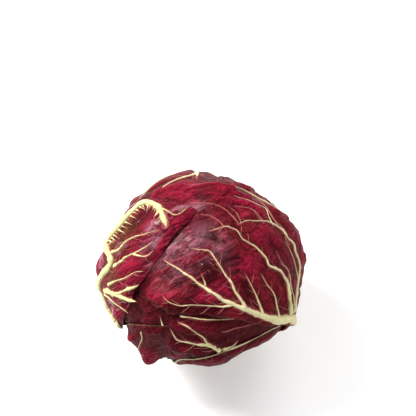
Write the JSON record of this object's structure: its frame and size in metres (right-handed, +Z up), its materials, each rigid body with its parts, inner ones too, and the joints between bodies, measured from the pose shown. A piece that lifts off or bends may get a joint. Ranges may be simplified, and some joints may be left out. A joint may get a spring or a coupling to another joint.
{
  "type": "radicchio head",
  "caption": "Whole round radicchio head with dark red wrapper leaves and pale ribs, standing on its cut stem.",
  "frame": {"origin": "middle of the flat cut face under the stem, which rests on the surface", "axes": "+Z up from the stem through the head, -Y towards the side that the picture shows"},
  "size_m": [0.1246, 0.1234, 0.1119],
  "materials": {
    "stem_cream": "matte",
    "heart_red": "satin",
    "leaf_red": "glossy"
  },
  "bodies": {
    "root": {"stem": "stem_cream", "heart": "heart_red", "leaf_crown": "leaf_red", "leaf_back_left": "leaf_red", "leaf_back": "leaf_red", "leaf_back_right": "leaf_red", "leaf_front": "leaf_red", "leaf_front_left": "leaf_red", "leaf_short_front": "leaf_red", "leaf_right": "leaf_red", "leaf_left": "leaf_red"}
  },
  "joints": []
}
